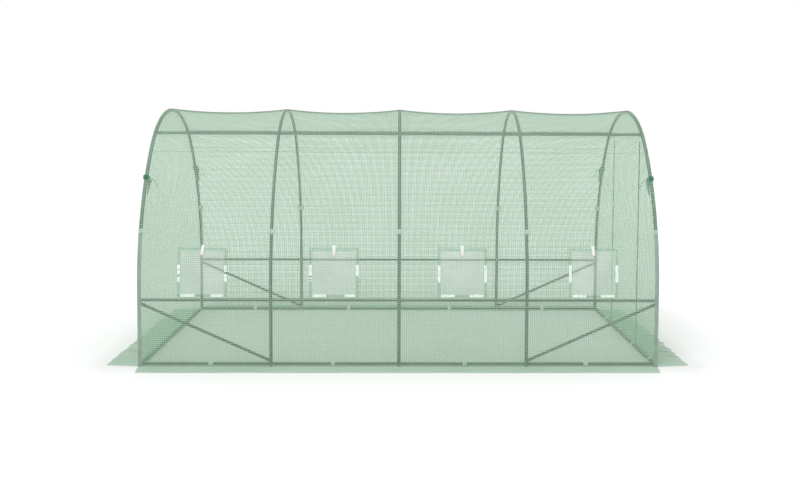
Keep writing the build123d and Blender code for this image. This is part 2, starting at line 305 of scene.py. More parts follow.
# ---- finishes
def surface(nodes, shader, base, rough, relief, **more):
    """Gives a shader its colour, its roughness (noise, low, high) and its bumps."""
    rough, bumps = nodes.spread(*rough), nodes.bump(*relief)
    nodes.feed(shader, Base_Color=base, Roughness=rough, Normal=bumps, **more)


def green_film(nodes, shader):
    """Translucent film with a square grid of reinforcing threads, and painted shade where it is
    seen edge-on.
    """
    calc = nodes.math
    across, along = nodes.lines(sizes().thread_pitch, sizes().thread_width)
    edge = nodes.put("ShaderNodeLayerWeight", Blend=0.5)["Facing"]
    slant = calc("POWER", edge, 2.0)
    across = calc("MULTIPLY", across, calc("ADD", calc("MULTIPLY", slant, 0.7), 0.7))
    along = calc("MULTIPLY", along, calc("SUBTRACT", 1.0, calc("MULTIPLY", slant, 0.85)))
    thread = calc("MAXIMUM", across, along)
    # Painted shade: seen edge-on, the film's colour darkens to the threads' colour at 35%, a
    # painted dark edge line; the same rim also makes the film denser there.
    rim = nodes.ramp(edge, 0.78, 0.93)
    green = nodes.mix(thread, nodes.tint(colours().film, 0.05, 1.7), colours().thread)
    green = nodes.mix(rim, green, shade(colours().thread, 0.35))

    film = nodes.spread(nodes.noise(2.3, 3.0), 0.18, 0.23)
    cover = calc("ADD", film, calc("MULTIPLY", thread, 0.72))
    soft = calc("MULTIPLY", calc("POWER", edge, 5.0), 0.4)
    cover = calc("MINIMUM", calc("ADD", cover, calc("ADD", soft, rim)), 1.0)
    through = calc("MULTIPLY", cover, 0.25)
    alpha = calc("DIVIDE", calc("MULTIPLY", cover, 0.75), calc("SUBTRACT", 1.0, through))
    folds = nodes.noise(3.5, 4.0, (1.0, 1.0, 0.55))
    height = calc("ADD", calc("MULTIPLY", thread, 0.12), folds)
    rough = (nodes.noise(9.0), 0.42, 0.58)
    surface(nodes, shader, green, rough, (height, 0.004, 0.7), Alpha=alpha)
    lit_behind = nodes.put("ShaderNodeBsdfTranslucent", Color=green)[0]
    return nodes.put("ShaderNodeMixShader", through, shader.outputs[0], lit_behind)[0]


def pane_film(nodes, shader):
    """The clearer film of a window, faintly milky, with fainter threads and soft creases."""
    cloud = nodes.noise(6.0, 3.0)
    thread = nodes.math("MAXIMUM", *nodes.lines(sizes().thread_pitch, sizes().thread_width))
    thread = nodes.math("MULTIPLY", thread, 0.3)
    alpha = nodes.math("ADD", thread, nodes.spread(cloud, 0.12, 0.20))
    relief = (nodes.noise(9.0, 3.0), 0.004, 0.6)
    base = nodes.tint(colours().pane, 0.04, 4.0)
    surface(nodes, shader, base, (cloud, 0.32, 0.46), relief, Alpha=alpha)


def hem_film(nodes, shader, base=(0.52, 0.76, 0.58), thin=0.10, thick=0.18):
    """The green film of a window's hem, without threads."""
    cloud = nodes.noise(12.0, 3.0)
    base, alpha = nodes.tint(base, 0.06, 8.0), nodes.spread(cloud, thin, thick)
    surface(nodes, shader, base, (cloud, 0.4, 0.55), (cloud, 0.003, 0.6), Alpha=alpha)


def leg_film(nodes, shader):
    """The doubled film over the end legs. Its pale grey is partly painted light: it lightens the
    end legs as if they caught more light.
    """
    hem_film(nodes, shader, (0.60, 0.69, 0.63), 0.34, 0.44)


def netting(nodes, shader):
    """Pale green netting with square holes."""
    pitch = sizes().net_pitch
    across, along = nodes.lines(pitch, pitch * 0.22)
    nodes.feed(
        shader,
        Base_Color=nodes.tint(colours().net, 0.04, 30.0),
        Alpha=nodes.math("MULTIPLY", nodes.math("MAXIMUM", across, along), 0.65),
        Normal=nodes.bump(nodes.math("ADD", across, along), 0.0004),
        Roughness=0.7,
    )


def coated_steel(nodes, shader):
    """Dark grey coated tube with a faint orange peel and a few dull patches."""
    rough, relief = (nodes.noise(14.0, 4.0), 0.30, 0.42), (nodes.noise(900.0), 0.0002, 0.5)
    base = nodes.tint(colours().steel, 0.16, 22.0)
    surface(nodes, shader, base, rough, relief, IOR=1.7, Coat_Weight=0.6, Coat_Roughness=0.1)


def zinc(nodes, shader):
    """Bright zinc of the bolts."""
    rough, relief = (nodes.noise(240.0), 0.28, 0.45), (nodes.noise(1500.0), 0.0001, 0.5)
    base = nodes.tint((0.52, 0.53, 0.52), 0.12, 160.0)
    surface(nodes, shader, base, rough, relief, Metallic=1.0)


def teeth(nodes, shader):
    """The zips' moulded teeth."""
    rough, relief = (nodes.noise(300.0), 0.35, 0.5), (nodes.noise(1800.0), 0.0001, 0.5)
    surface(nodes, shader, nodes.tint((0.020, 0.060, 0.036), 0.12, 120.0), rough, relief)


def weave(nodes, shader, base, pitch, hollow_shade=0.45):
    """Plain-woven tape: ribs across it, and finer lines along it, with painted shade in its
    hollows.
    """
    halves = pitch / 2, pitch * 0.7
    hills = [
        nodes.ramp(nodes.math("PINGPONG", nodes.cloth(axis), half), 0.0, half)
        for axis, half in enumerate(halves)
    ]
    height = nodes.math("MULTIPLY", *(nodes.math("ADD", hill, 0.35) for hill in hills))
    # Painted shade: the colour darkens where the weave is low, in the hollows between the ribs.
    nodes.feed(
        shader,
        Base_Color=nodes.mix(nodes.ramp(height, 0.1, 0.8), shade(base, 1 - hollow_shade), base),
        Normal=nodes.bump(height, pitch * 0.5, 0.8),
        Roughness=0.75,
        Sheen_Weight=0.25,
    )


def webbing(nodes, shader):
    """White woven strap."""
    weave(nodes, shader, colours().webbing, 0.0016, 0.06)


def zip_tape(nodes, shader):
    """The zips' dark green woven tape."""
    weave(nodes, shader, colours().tape, 0.0012)


def hook_tape(nodes, shader):
    """Hook-and-loop strip: a pale pile of short loops."""
    pile = nodes.noise(700.0, 3.0)
    patches = nodes.ramp(nodes.noise(60.0), 0.35, 0.6)
    pale = nodes.mix(patches, (0.66, 0.80, 0.69), (0.92, 0.97, 0.93))
    surface(nodes, shader, pale, (pile, 0.7, 0.9), (pile, 0.0012, 0.9), Sheen_Weight=0.3)


def string(nodes, shader):
    """Dark green twisted string."""
    strand = nodes.noise(420.0, 2.0, (1.0, 1.0, 0.35))
    base = colours().string
    light = [c + 0.01 for c in shade(base, 2.0)]
    green = nodes.mix(nodes.ramp(strand, 0.4, 0.65), base, light)
    surface(nodes, shader, green, (strand, 0.65, 0.85), (strand, 0.0012, 0.8))


FINISHES = {
    each.__name__: each
    for each in (
        green_film, pane_film, hem_film, leg_film, netting, coated_steel, zinc, teeth, webbing,
        zip_tape, hook_tape, string,
    )
}


def finish(name):
    """The material of a finish, made the first time it is asked for."""
    if name in bpy.data.materials:
        return bpy.data.materials[name]
    material = bpy.data.materials.new(name)
    nodes = nodes_of(material)
    shader = material.node_tree.nodes.new("ShaderNodeBsdfPrincipled")
    mixed = FINISHES[name](nodes, shader)
    nodes.put("ShaderNodeOutputMaterial", Surface=mixed or shader.outputs[0])
    return material


# ---- making pieces
def placed(name, data):
    """An object at the origin."""
    thing = bpy.data.objects.new(name, data)
    bpy.context.scene.collection.objects.link(thing)
    return thing


def piece_of(data, looks, nodes=()):
    """A piece that rides on the tunnel, with its finishes and the CAD nodes it stands for."""
    piece = placed(data.name, data)
    for look in looks:
        data.materials.append(finish(look))
    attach(piece, ROOT)
    if nodes:
        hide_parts(*nodes)
    return piece


def tidy(mesh, merge=1e-5, outward=True):
    """Merges doubled points, turns the faces outwards and smooths all but the sharp edges."""
    work = bmesh.new()
    work.from_mesh(mesh)
    bmesh.ops.remove_doubles(work, verts=work.verts, dist=merge)
    bmesh.ops.dissolve_degenerate(work, dist=merge / 10, edges=work.edges)
    if outward:
        bmesh.ops.recalc_face_normals(work, faces=work.faces)
    work.to_mesh(mesh)
    work.free()
    mesh.shade_smooth()
    mesh.set_sharp_from_angle(angle=math.radians(35))
    return mesh


def mesh_from(name, points, faces, flat=None, kinds=None):
    """A mesh. flat gives each point's place on the flat sheet, and kinds each face's finish."""
    mesh = bpy.data.meshes.new(name)
    mesh.from_pydata([tuple(p) for p in points], [], faces)
    if flat is not None:
        layer = mesh.uv_layers.new(name=MAP)
        for loop in mesh.loops:
            layer.data[loop.index].uv = flat[loop.vertex_index]
    if kinds is not None:
        mesh.polygons.foreach_set("material_index", kinds)
    return mesh


def sheet_mesh(name, columns, rows, place, keep=None, kind=None, flat=None, merge=1e-5,
               away_from=MIDDLE):
    """A sheet of quads that faces away from a point, if one is given.

    place gives the point for a column and a row, flat its place on the flat sheet, keep says which
    quads stay, and kind which finish a quad has.
    """
    spots = [(c, r) for r in rows for c in columns]
    faces, kinds = [], []
    wide = len(columns)
    for j, (r0, r1) in enumerate(zip(rows, rows[1:])):
        for i, (c0, c1) in enumerate(zip(columns, columns[1:])):
            quad = ((c0 + c1) / 2, (r0 + r1) / 2)
            if keep and not keep(*quad):
                continue
            at = j * wide + i
            faces.append((at, at + 1, at + wide + 1, at + wide))
            kinds.append(kind(*quad) if kind else 0)
    cut = [flat(*spot) for spot in spots] if flat else spots
    mesh = mesh_from(name, [place(*spot) for spot in spots], faces, cut, kinds)
    tidy(mesh, merge, outward=False)
    if away_from:
        heart = Vector(away_from)
        if sum((p.center - heart).dot(p.normal) * p.area for p in mesh.polygons) < 0:
            mesh.flip_normals()
    return mesh


def ring_faces(first, wide, count):
    """The faces of a tube through rings of points, with both ends closed."""
    faces = []
    for at in range(first, first + wide * (count - 1), wide):
        for i in range(wide):
            a, b = at + i, at + (i + 1) % wide
            faces.append((a, b, b + wide, a + wide))
    last = first + wide * (count - 1)
    faces.append(tuple(range(first + wide - 1, first - 1, -1)))
    faces.append(tuple(range(last, last + wide)))
    return faces


def film_piece(mesh, node):
    """A sheet of the cover."""
    piece = piece_of(mesh, ["green_film"], [node])


def thicken(piece, thickness, offset=-1.0):
    """Gives a sheet its thickness, inwards from -1, or half to each side from 0."""
    modifier = piece.modifiers.new("Thickness", "SOLIDIFY")
    modifier.thickness = thickness
    modifier.offset = offset
    modifier.use_even_offset = True


# ---- Geometry Nodes trees
STITCH_RADIUS = 0.0006


def new_tree(name, values):
    """The nodes of an empty tree with named inputs, and its input node's sockets."""
    tree = bpy.data.node_groups.new(name, "GeometryNodeTree")
    nodes = Nodes(tree)
    kinds = {int: "NodeSocketInt", float: "NodeSocketFloat"}
    add = tree.interface.new_socket
    add("Geometry", in_out="INPUT", socket_type="NodeSocketGeometry")
    for label, value in values.items():
        add(label, in_out="INPUT", socket_type=kinds[type(value)]).default_value = value
    add("Finish", in_out="INPUT", socket_type="NodeSocketMaterial")
    add("Geometry", in_out="OUTPUT", socket_type="NodeSocketGeometry")
    return nodes, nodes.put("NodeGroupInput")


def close_tree(nodes, given, geometry):
    """Ends a tree: real meshes with their finish."""
    real = nodes.put("GeometryNodeRealizeInstances", geometry)[0]
    done = nodes.put("GeometryNodeSetMaterial", Geometry=real, Material=given["Finish"])[0]
    nodes.put("NodeGroupOutput", done)
    return nodes.tree


def copied(nodes, given, points, shape, turn):
    """Ends a tree with a copy of a shape at each point."""
    kind = "GeometryNodeInstanceOnPoints"
    copies = nodes.put(kind, Points=points, Instance=shape, Rotation=turn)[0]
    return close_tree(nodes, given, copies)


def cylinder(nodes, sides, radius, depth):
    kind = "GeometryNodeMeshCylinder"
    return nodes.put(kind, Vertices=sides, Radius=radius, Depth=depth)[0]


def tube_tree(name):
    """Round tubes along the host's edges, with closed ends."""
    nodes, given = new_tree(name, {"Radius": 0.0125, "Sides": 20})
    runs = nodes.put("GeometryNodeMeshToCurve", given["Geometry"])[0]
    kind = "GeometryNodeCurvePrimitiveCircle"
    ring = nodes.put(kind, Resolution=given["Sides"], Radius=given["Radius"])[0]
    kind = "GeometryNodeCurveToMesh"
    skin = nodes.put(kind, Curve=runs, Profile_Curve=ring, Fill_Caps=True)[0]
    return close_tree(nodes, given, skin)


def bead_tree(name, values, bead):
    """Copies of one small shape at equal steps along the host's edges."""
    nodes, given = new_tree(name, {"Pitch": 0.01, **values})
    runs = nodes.put("GeometryNodeMeshToCurve", given["Geometry"])[0]
    kind = "GeometryNodeCurveToPoints"
    steps = nodes.put(kind, Curve=runs, Length=given["Pitch"], mode="LENGTH")
    return copied(nodes, given, steps["Points"], bead(nodes, given), steps["Rotation"])


def stitch_tree(name):
    """Stitches: short threads that lie along a seam."""

    def bead(nodes, given):
        depth = nodes.math("MULTIPLY", given["Pitch"], 0.62)
        return cylinder(nodes, 6, given["Thread Radius"], depth)

    return bead_tree(name, {"Thread Radius": STITCH_RADIUS}, bead)


def tooth_tree(name):
    """A zip's teeth."""

    def bead(nodes, given):
        wide, tall = given["Tooth Width"], nodes.math("MULTIPLY", given["Pitch"], 0.55)
        size = nodes.put("ShaderNodeCombineXYZ", wide, wide, tall)[0]
        return nodes.put("GeometryNodeMeshCube", Size=size)[0]

    return bead_tree(name, {"Tooth Width": 0.0045}, bead)


def bolt_tree(name):
    """A washer and a hexagonal head at each of the host's points, turned the way its aim says."""
    nodes, given = new_tree(name, {"Head Radius": 0.007})
    parts = nodes.tree.nodes.new("GeometryNodeJoinGeometry")
    for sides, *shares in ((16, 1.35, 0.2, 0.1), (6, 1.0, 0.65, 0.5), (10, 0.45, 0.3, 0.95)):
        wide, tall, lift = (nodes.math("MULTIPLY", given["Head Radius"], s) for s in shares)
        disc = cylinder(nodes, sides, wide, tall)
        rise = nodes.put("ShaderNodeCombineXYZ", Z=lift)[0]
        nodes.feed(parts, nodes.put("GeometryNodeTransform", Geometry=disc, Translation=rise)[0])
    kind = "GeometryNodeInputNamedAttribute"
    aim = nodes.put(kind, Name="aim", data_type="FLOAT_VECTOR")[0]
    turn = nodes.put("FunctionNodeAlignRotationToVector", Vector=aim, axis="Z")[0]
    return copied(nodes, given, given["Geometry"], parts.outputs[0], turn)


TREES = {
    "Tubes along runs": tube_tree,
    "Stitches along seams": stitch_tree,
    "Zip teeth": tooth_tree,
    "Bolts at points": bolt_tree,
}


def grown(name, host, kind, finish_name, values):
    """The plain mesh that a tree makes from a host mesh."""
    tree = bpy.data.node_groups.get(kind) or TREES[kind](kind)
    holder = placed(name + "_host", host)
    modifier = holder.modifiers.new(kind, "NODES")
    modifier.node_group = tree
    values = {**values, "Finish": finish(finish_name)}
    for item in tree.interface.items_tree:
        if item.in_out == "INPUT" and item.name in values:
            modifier[item.identifier] = values[item.name]
    graph = bpy.context.evaluated_depsgraph_get()
    mesh = bpy.data.meshes.new_from_object(
        holder.evaluated_get(graph), preserve_all_data_layers=True, depsgraph=graph
    )
    holder.modifiers.remove(modifier)
    bpy.data.objects.remove(holder)
    bpy.data.meshes.remove(host)
    mesh.name = name
    return tidy(mesh)


def run_host(name, runs):
    """A host mesh of edges along each run of points."""
    points, edges = [], []
    for run in runs:
        first = len(points)
        points += [tuple(p) for p in run]
        edges += [(i, i + 1) for i in range(first, len(points) - 1)]
    mesh = bpy.data.meshes.new(name + "_runs")
    mesh.from_pydata(points, edges, [])
    return mesh


def tubes(name, runs, radius, nodes, look="coated_steel", sides=20):
    """A piece of round tubes along runs of points."""
    values = {"Radius": radius, "Sides": sides}
    piece_of(grown(name, run_host(name, runs), "Tubes along runs", look, values), (), nodes)


# ---- the frame
class TUNNEL_OT_hoops(bpy.types.Operator):
    """Make the bent hoops and the straight legs under them"""

    bl_idname = "tunnel.hoops"
    bl_label = "Hoops and legs"

    def execute(self, context):
        half = [JOINT, LEG_TOP, HAUNCH_RUN, TOP_RUN]
        runs = stops(*half, *(FULL_RUN - run for run in half[-2::-1]), step=0.04)
        for number, x in enumerate(HOOPS, 1):
            line = [(x, *hoop_at(run)[:2]) for run in runs]
            tubes(f"hoop_tube_{number}", [line], TUBE, [f"arch_{number}"], sides=24)
        for side, name in SIDES:
            y = side * HALF_WIDTH
            legs = [[(x, y, 0.0), (x, y, JOINT)] for x in HOOPS]
            tubes(f"leg_tubes_{name}", legs, TUBE, [f"legs_{name}"], sides=24)
        return {"FINISHED"}


class TUNNEL_OT_rails(bpy.types.Operator):
    """Make the base, middle and upper rails"""

    bl_idname = "tunnel.rails"
    bl_label = "Rails"

    def execute(self, context):
        levels = ("base", "mid", "upper")
        names = [f"{level}_rail_{side}" for level in levels for _, side in SIDES]
        for name in names + ["base_rail_west", "base_rail_east"]:
            low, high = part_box(name)
            axis = 1 if name.endswith(("west", "east")) else 0
            ends = [(low + high) / 2 for _ in range(2)]
            ends[0][axis], ends[1][axis] = low[axis], high[axis]
            tubes(f"{name}_tube", [ends], TUBE, [name])
        return {"FINISHED"}


BRACE_RADIUS = 0.0110
TAB_HALF = 0.0125  # half the width of a brace's flat end, and its end's radius
TAB_THIN = 0.0015  # half the flat end's thickness
TAB_REACH = 0.02  # from the bolt to where the tube starts to round out
TAB_TAPER = 0.03  # the length over which it does


def brace_mesh(name, low_bolt, high_bolt, inner):
    """A round tube between two bolts in a side's plane, with both ends pressed flat round them."""
    line = (high_bolt - low_bolt).normalized()
    across = Vector((-line.z, 0.0, line.x))
    span = (high_bolt - low_bolt).length
    # Each ring's place along the brace, how flat it is, and how much of the tab's width it has.
    rings = [(-TAB_HALF, 1.0, 0.0)]
    for i in range(1, 9):
        turn = math.pi / 2 * i / 8
        rings.append((-TAB_HALF * math.cos(turn), 1.0, math.sin(turn)))
    rings += [(TAB_REACH, 1.0, 1.0)]
    for share in (i / 8 for i in range(1, 9)):
        rings.append((TAB_REACH + TAB_TAPER * share, 1.0 - (3 * share**2 - 2 * share**3), 1.0))
    rings += [(span / 2, 0.0, 1.0)]
    rings += [(span - at, flat, end) for at, flat, end in reversed(rings[:-1])]
    points = []
    for at, flat, end in rings:
        for turn in full_turn(24)[:-1]:
            cos, sin = math.cos(turn), math.sin(turn)
            wide = TAB_HALF * math.copysign(min(1.0, abs(cos) * 1.35), cos)
            thin = TAB_THIN * math.copysign(min(1.0, abs(sin) * 1.6), sin)
            u = (wide * flat + BRACE_RADIUS * cos * (1 - flat)) * max(end, 1e-4)
            v = thin * flat + BRACE_RADIUS * sin * (1 - flat)
            points.append(low_bolt + line * at + across * u + inner * v)
    return tidy(mesh_from(name, points, ring_faces(0, 24, len(rings))))


def brace_ends(node, end):
    """The two bolts of a brace: low on the leg next to the end, high on the end hoop's."""
    low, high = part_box(node)
    y = (low.y + high.y) / 2
    low_x, high_x = end * HOOPS[3], end * HOOPS[4]
    return Vector((low_x, y, low.z + TAB_HALF)), Vector((high_x, y, high.z - TAB_HALF))


class TUNNEL_OT_braces(bpy.types.Operator):
    """Make the four diagonal braces in the end bays"""

    bl_idname = "tunnel.braces"
    bl_label = "Braces"

    def execute(self, context):
        for side, side_name in SIDES:
            for end, end_name in ENDS:
                node = f"brace_{side_name}_{end_name}"
                inner = Vector((0.0, -side, 0.0))
                mesh = brace_mesh(f"{node}_tube", *brace_ends(node, end), inner)
                piece_of(mesh, ["coated_steel"], [node])
        return {"FINISHED"}


class TUNNEL_OT_bolts(bpy.types.Operator):
    """Make the bolts where rails and braces meet the hoops"""

    bl_idname = "tunnel.bolts"
    bl_label = "Bolts"

    def execute(self, context):
        bolts = []  # each bolt's place and the way its head looks
        for side, name in SIDES:
            level_out = Vector((0.0, side, 0.0))
            for level in ("base", "mid", "upper"):
                low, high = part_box(f"{level}_rail_{name}")
                middle, radius = (low + high) / 2, (high.z - low.z) / 2
                out = level_out
                if level == "upper":
                    out = Vector((0.0, middle.y, middle.z - CROWN_CENTRE)).normalized()
                for x in HOOPS:
                    bolts.append((Vector((x, middle.y, middle.z)) - out * radius, -out))
            for end, end_name in ENDS:
                for bolt in brace_ends(f"brace_{name}_{end_name}", end):
                    bolts.append((bolt - level_out * TAB_THIN, -level_out))
        host = bpy.data.meshes.new("bolt_points")
        host.from_pydata([tuple(place) for place, _ in bolts], [], [])
        aim = host.attributes.new("aim", "FLOAT_VECTOR", "POINT")
        aim.data.foreach_set("vector", [c for _, way in bolts for c in way])
        values = {"Head Radius": sizes().bolt_size}
        mesh = grown("bolts", host, "Bolts at points", "zinc", values)
        piece_of(mesh, ())
        return {"FINISHED"}


# ---- the stage
EYE = (-0.0003, -7.3293, 1.8621)
YAW, PITCH, ROLL = 0.013, 0.0543, 0.0044
LENS, SENSOR, SHIFT = 37.2, 36.0, (-0.0128, -0.0862)
SKY_LIGHT = 0.86
SUN_STRENGTH, SUN_ANGLE, SUN_TURN = 1.1, 0.8, (36, 0, -20)
FLOOR_HALF = 120.0
FLOOR_GREY = (0.7, 0.7, 0.7)
SKIRT_DEPTH = 0.25
# How white the camera sees the floor is the sum of two smooth steps, each between two distances
# from the skirts and two values. They paint a soft shadow: the floor is greyer under and near the
# tunnel.
FLOOR_WHITE_AND_PAINTED_SHADOW = ((0.0, 0.22, 0.85, 0.93), (0.15, 0.9, 0.0, 0.07))


class TUNNEL_OT_stage(bpy.types.Operator):
    """Set up the camera, the white floor, the sky and the soft lamp"""

    bl_idname = "tunnel.stage"
    bl_label = "Stage"

    def execute(self, context):
        scene = context.scene
        lens = bpy.data.cameras.new("camera")
        lens.lens, lens.sensor_width, lens.clip_end = LENS, SENSOR, 500.0
        lens.shift_x, lens.shift_y = SHIFT
        level = Vector((math.cos(YAW), -math.sin(YAW), 0.0))
        ahead = Vector((math.sin(YAW), math.cos(YAW), 0.0))
        look = ahead * math.cos(PITCH) - Vector((0.0, 0.0, math.sin(PITCH)))
        over = level.cross(look)
        right = level * math.cos(ROLL) + over * math.sin(ROLL)
        above = over * math.cos(ROLL) - level * math.sin(ROLL)
        camera = placed("camera", lens)
        turn = Matrix((right, above, -look)).transposed().to_4x4()
        camera.matrix_world = Matrix.Translation(EYE) @ turn
        scene.camera = camera
        scene.view_settings.view_transform = "Standard"

        scene.world = bpy.data.worlds.new("white")
        nodes = nodes_of(scene.world)
        seen = nodes.put("ShaderNodeLightPath")["Is Camera Ray"]
        strength = nodes.ramp(seen, 0.0, 1.0, SKY_LIGHT, 1.0)
        sky = nodes.put("ShaderNodeBackground", Color=(1.0, 1.0, 1.0), Strength=strength)[0]
        nodes.put("ShaderNodeOutputWorld", Surface=sky)

        lamp = bpy.data.lights.new("soft_sun", "SUN")
        lamp.energy, lamp.angle = SUN_STRENGTH, SUN_ANGLE
        sun = placed("soft_sun", lamp)
        sun.rotation_euler = [math.radians(turn) for turn in SUN_TURN]

        mesh = bpy.data.meshes.new("floor")
        corners = [(x, y, 0) for x, y in ((-1, -1), (1, -1), (1, 1), (-1, 1))]
        mesh.from_pydata([Vector(c) * FLOOR_HALF for c in corners], [], [(0, 1, 2, 3)])
        mesh.materials.append(self.ground())
        placed("floor", mesh)
        return {"FINISHED"}

    def ground(self):
        """A floor that keeps the tunnel's shadow, adds a painted soft shadow under and near it, and
        is as white as the sky away from it.
        """
        ground = bpy.data.materials.new("white_floor")
        nodes = nodes_of(ground)
        seen = nodes.put("ShaderNodeLightPath")["Is Camera Ray"]
        place = nodes.put("ShaderNodeSeparateXYZ", nodes.spot)
        away = []
        for axis, half in enumerate((END + SKIRT_DEPTH, HALF_WIDTH)):
            past = nodes.math("SUBTRACT", nodes.math("ABSOLUTE", place[axis]), half)
            away.append(nodes.math("MAXIMUM", past, 0.0))
        away = nodes.math("ADD", *away)
        # Painted shadow: to the camera the floor is 0.85 white under the tunnel, rising to 1.0
        # about 0.9 m away.
        white = nodes.math("ADD", *(nodes.ramp(away, *step) for step in FLOOR_WHITE_AND_PAINTED_SHADOW))
        plain = nodes.put("ShaderNodeBsdfDiffuse", Color=nodes.mix(seen, FLOOR_GREY, white))[0]
        nodes.put("ShaderNodeOutputMaterial", Surface=plain)
        return ground


# ---- the ties
STRING = 0.005
WOUND_RADIUS = 0.0031  # the wound string's, which is a little thicker
WOUND_LAYER = 0.0040
STRING_GAP = 0.0007
KNOT_HALF = (0.0075, 0.0095)  # a knot's half width and half height
TIE_HEIGHT = 1.445
TIE_Y = abs(hoop_at(run_at(TIE_HEIGHT))[0])
KNOT_X = HOOPS[-1] - TUBE - SEAT - KNOT_HALF[0]
# Each loose string: its length, how far its start is in from the knot's middle and below it, and
# its points as steps inward, down and outward from there.
LOOSE = {
    "tail": (0.097, (KNOT_HALF[0] + STRING_GAP, 0.0), (
        (0, 0, 0), (0.018, 0.005, 0), (0.038, 0.026, -0.002), (0.058, 0.072, -0.004),
    )),
    "drop": (0.132, (0.0, KNOT_HALF[1] + STRING_GAP), (
        (0, 0, 0), (0.001, 0.034, 0.003), (-0.001, 0.078, 0.026), (0.002, 0.120, 0.050),
    )),
}
# Each loop of a knot's bow: how far it spreads, and how far it hangs down.
LOOPS = ((0.007, 0.062), (-0.006, 0.098), (0.012, 0.044), (-0.007, 0.078), (0.004, 0.112))
# How far the wound string is from the hoop's centreline, by its angle in degrees: 0 is towards the
# tunnel's middle, 90 out through the roof's film, and 180 out through the end's.
WOUND = (
    (0, 0.0162), (40, 0.0163), (60, 0.0184), (90, 0.0162), (120, 0.0185), (135, 0.0222),
    (150, 0.0185), (180, 0.0162), (210, 0.0185), (228, 0.0166), (270, 0.0162), (360, 0.0162),
)
WINDINGS = 11.5
WOUND_WIDE = 0.034  # how much of the hoop the winding covers
SECOND_LAYER = 0.62  # the share of the string after which it winds back over itself


def wound_reach(angle):
    for (a, near), (b, far) in zip(WOUND, WOUND[1:]):
        if angle <= b:
            return near + (far - near) * (angle - a) / (b - a)


def winding(end, side):
    """The string wound round an end hoop. It goes out through the films' edges and back in."""
    centre, outward, along = hoop_frame(end * HOOPS[-1], side, TIE_HEIGHT)
    count = 460
    found = []
    for share in (i / count for i in range(count + 1)):
        angle = 360 * WINDINGS * share
        reach = wound_reach(angle % 360) + WOUND_LAYER * clamp((share - SECOND_LAYER) / 0.03)
        back = share if share < SECOND_LAYER else 2 * SECOND_LAYER - share
        rise = WOUND_WIDE * (back / SECOND_LAYER - 0.5)
        turn = math.radians(angle)
        inward = Vector((-end * reach * math.cos(turn), 0, 0))
        found.append(centre + inward + outward * reach * math.sin(turn) + along * rise)
    return found


def knot_line(end, side):
    """A tight three-looped knot on the side of the hoop towards the tunnel's middle."""
    centre = Vector((end * KNOT_X, side * TIE_Y, TIE_HEIGHT))
    found = []
    for turn in full_turn(48):
        ring = 2.0 + math.cos(3 * turn)
        y, z = 0.0036 * ring * math.cos(2 * turn), 0.0044 * ring * math.sin(2 * turn)
        found.append(centre + Vector((0.0060 * math.sin(3 * turn), y, z)))
    return found


def bow_line(end, side, spread, drop):
    """A loop of string that hangs from a knot and follows the hoop down."""
    found = []
    for turn in full_turn(28):
        down = KNOT_HALF[1] - 0.004 + drop / 2 * (1 - math.cos(turn))
        x = KNOT_X - 0.0035 - spread * math.sin(turn)
        y = TIE_Y + 0.050 * (down / 0.120) ** 1.7
        found.append(Vector((end * x, side * y, TIE_HEIGHT - down)))
    return found


def loose_string(name, end, side, node):
    """One loose end of string: a cord piece from its start beside the knot."""
    cord_length, (inset, below), steps = LOOSE[name]
    points = [
        (end * (KNOT_X - inset - inward), side * (TIE_Y + outward), TIE_HEIGHT - below - down)
        for inward, down, outward in steps
    ]
    line = bpy.data.curves.new(f"{node}_string", "CURVE")
    line.dimensions = "3D"
    line.bevel_depth = STRING / 2
    line.bevel_resolution = 3
    line.resolution_u = 12
    line.use_fill_caps = True
    spline = line.splines.new("NURBS")
    spline.points.add(len(points) - 1)
    for point, place in zip(spline.points, points):
        point.co = (*place, 1.0)
    spline.order_u = 3
    spline.use_endpoint_u = True
    piece = piece_of(line, ["string"], [node])
    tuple(points[0])


class TUNNEL_OT_ties(bpy.types.Operator):
    """Make the strings tied round the end hoops, with their loose ends"""

    bl_idname = "tunnel.ties"
    bl_label = "Ties"

    def execute(self, context):
        runs, bows = [], []
        for end, end_name in ENDS:
            for side, side_name in SIDES:
                for name in LOOSE:
                    loose_string(name, end, side, f"tie_{name}_{side_name}_{end_name}")
                runs += [winding(end, side), knot_line(end, side)]
                bows += [bow_line(end, side, *loop) for loop in LOOPS]
        runs += bows
        tubes("tie_knots", runs, WOUND_RADIUS, ["tie_wraps"], "string", sides=10)
        return {"FINISHED"}


# ---- the cover
FLAP_LOW, FLAP_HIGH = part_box("window_flap_1")
WINDOWS = middles("window_flap", 4)
WINDOW_SILL, WINDOW_TOP = FLAP_LOW.z, FLAP_HIGH.z
WINDOW_HALF = (FLAP_HIGH.x - FLAP_LOW.x) / 2
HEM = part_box("window_screens")[0].z - WINDOW_SILL
OPENING = WINDOW_HALF - HEM  # half the width of the opening behind a window
OPENING_RUNS = run_at(WINDOW_SILL + HEM), run_at(WINDOW_TOP - HEM)
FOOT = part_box("cover_side_south")[0].z
SEAM_RUN = run_at(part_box("cover_roof")[0].z)
LEG_HEM_TOP = 1.02


def film_at(x, run, lift=0.0):
    """A point on the film, or outside it by a lift: it sags and ripples between the hoops."""
    y, z, out = hoop_at(run)
    share = next((clamp((x - a) / (b - a)) for a, b in zip(HOOPS, HOOPS[1:]) if x <= b), 1.0)
    free = 4 * share * (1 - share)
    sag = sizes().ridge_sag * (z / RIDGE) ** 6 * free
    ripple = wave(x * 2.7, run * 1.6, 3.1) + 0.5 * wave(x * 7.0, run * 3.3, 8.2)
    off = SKIN - sag + sizes().ripple * ripple * free * min(1.0, z / 0.3) + lift
    return Vector((x, y + out[0] * off, z + out[1] * off))


def film_strip(name, x0, x1, run0, run1, lift):
    """A strip of sheet on the film between two places along the tunnel and two round it."""
    columns = stops(x0, *(x for x in HOOPS if x0 < x < x1), x1, step=0.033)
    rows = stops(run0, run1, step=0.033)
    return sheet_mesh(name, columns, rows, lambda x, run: film_at(x, run, lift))


